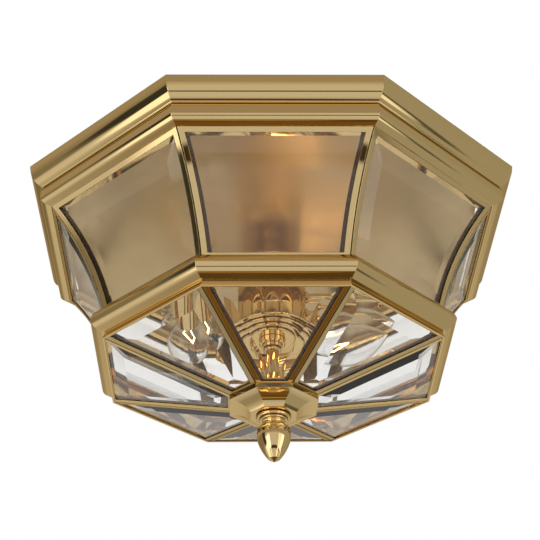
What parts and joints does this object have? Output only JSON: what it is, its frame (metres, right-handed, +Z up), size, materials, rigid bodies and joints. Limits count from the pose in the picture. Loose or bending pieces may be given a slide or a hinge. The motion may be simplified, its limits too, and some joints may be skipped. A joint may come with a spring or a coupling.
{
  "type": "outdoor flush mount light",
  "caption": "Octagonal polished brass flush mount ceiling light with bent bevelled glass sides, a shallow bevelled glass bottom, an acorn finial and sideways candle bulbs.",
  "frame": {"origin": "centre of the ceiling plane, at the middle of the mounting strap's top face", "axes": "+Z up into the ceiling, -Y towards the flat side that faces the viewer, +X along the strap"},
  "size_m": [0.38, 0.38, 0.2165],
  "materials": {
    "polished_brass": "polished",
    "dark_brass": "darkened in the gaps",
    "satin_brass": "satin",
    "plain_brass": "plain",
    "clear_glass": "clear, bevelled",
    "bulb_glass": "clear",
    "filament": "glowing wire",
    "nickel_cap": "nickel plated",
    "zinc_steel": "zinc plated",
    "green_steel": "green",
    "foam_gasket": "foam",
    "socket_plastic": "matt"
  },
  "bodies": {
    "ceiling_unit": {"mounting_strap": "zinc_steel", "mounting_studs": "zinc_steel", "ground_screw": "green_steel", "ceiling_gasket": "foam_gasket", "ceiling_pan": "satin_brass", "pan_cap_nuts": "polished_brass", "centre_rod": "polished_brass", "rod_lock_nuts": "zinc_steel", "drum_neck": "polished_brass", "drum": "polished_brass", "stepped_plate": "polished_brass", "rod_collar": "polished_brass", "socket_arms": "polished_brass", "arm_flanges": "polished_brass", "arm_nuts": "polished_brass", "socket_brackets": "polished_brass", "socket_stems": "zinc_steel", "socket_sleeves": "polished_brass", "socket_bodies": "socket_plastic", "socket_shells": "plain_brass", "socket_contacts": "plain_brass"},
    "glass_cage": {"upper_moulding": "polished_brass", "upper_frames": "polished_brass", "upper_glass": "clear_glass", "upper_corner_strips": "dark_brass", "lower_band": "polished_brass", "lower_frames": "polished_brass", "lower_glass": "clear_glass", "lower_corner_strips": "dark_brass", "hub_cap": "polished_brass", "hub_plate": "plain_brass"},
    "finial_washer": {"finial_washer": "polished_brass"},
    "finial": {"finial": "polished_brass"},
    "bulb_cap_1": {"bulb_base_1": "nickel_cap", "bulb_contact_1": "nickel_cap"},
    "bulb_1": {"bulb_glass_1": "bulb_glass", "bulb_filament_1": "filament"},
    "bulb_cap_2": {"bulb_base_2": "nickel_cap", "bulb_contact_2": "nickel_cap"},
    "bulb_2": {"bulb_glass_2": "bulb_glass", "bulb_filament_2": "filament"},
    "bulb_cap_3": {"bulb_base_3": "nickel_cap", "bulb_contact_3": "nickel_cap"},
    "bulb_3": {"bulb_glass_3": "bulb_glass", "bulb_filament_3": "filament"}
  },
  "joints": [
    {"name": "cage_drop", "type": "slide", "parent": "ceiling_unit", "child": "glass_cage", "axis": [0, 0, -1], "range_m": [0, 0.22]},
    {"name": "finial_travel", "type": "slide", "parent": "glass_cage", "child": "finial_washer", "axis": [0, 0, -1], "range_m": [0, 0.0113]},
    {"name": "finial_turn", "type": "hinge", "parent": "finial_washer", "child": "finial", "pos_m": [0, 0, -0.19], "axis": [0, 0, -1], "range_deg": [0, 4320]},
    {"name": "bulb_1_travel", "type": "slide", "parent": "ceiling_unit", "child": "bulb_cap_1", "axis": [0, 1, 0], "range_m": [0, 0.0064]},
    {"name": "bulb_1_turn", "type": "hinge", "parent": "bulb_cap_1", "child": "bulb_1", "pos_m": [-0.067, 0, -0.093], "axis": [0, 1, 0], "range_deg": [0, 900]},
    {"name": "bulb_2_travel", "type": "slide", "parent": "ceiling_unit", "child": "bulb_cap_2", "axis": [-0.866, -0.5, 0], "range_m": [0, 0.0064]},
    {"name": "bulb_2_turn", "type": "hinge", "parent": "bulb_cap_2", "child": "bulb_2", "pos_m": [0.0335, -0.05802, -0.093], "axis": [-0.866, -0.5, 0], "range_deg": [0, 900]},
    {"name": "bulb_3_travel", "type": "slide", "parent": "ceiling_unit", "child": "bulb_cap_3", "axis": [0.866, -0.5, 0], "range_m": [0, 0.0064]},
    {"name": "bulb_3_turn", "type": "hinge", "parent": "bulb_cap_3", "child": "bulb_3", "pos_m": [0.0335, 0.05802, -0.093], "axis": [0.866, -0.5, 0], "range_deg": [0, 900]}
  ],
  "couplings": [
    {"joint": "finial_travel", "follows": "finial_turn", "m_per_rad": 0.00014961},
    {"joint": "bulb_1_travel", "follows": "bulb_1_turn", "m_per_rad": 0.00040425},
    {"joint": "bulb_2_travel", "follows": "bulb_2_turn", "m_per_rad": 0.00040425},
    {"joint": "bulb_3_travel", "follows": "bulb_3_turn", "m_per_rad": 0.00040425}
  ]
}
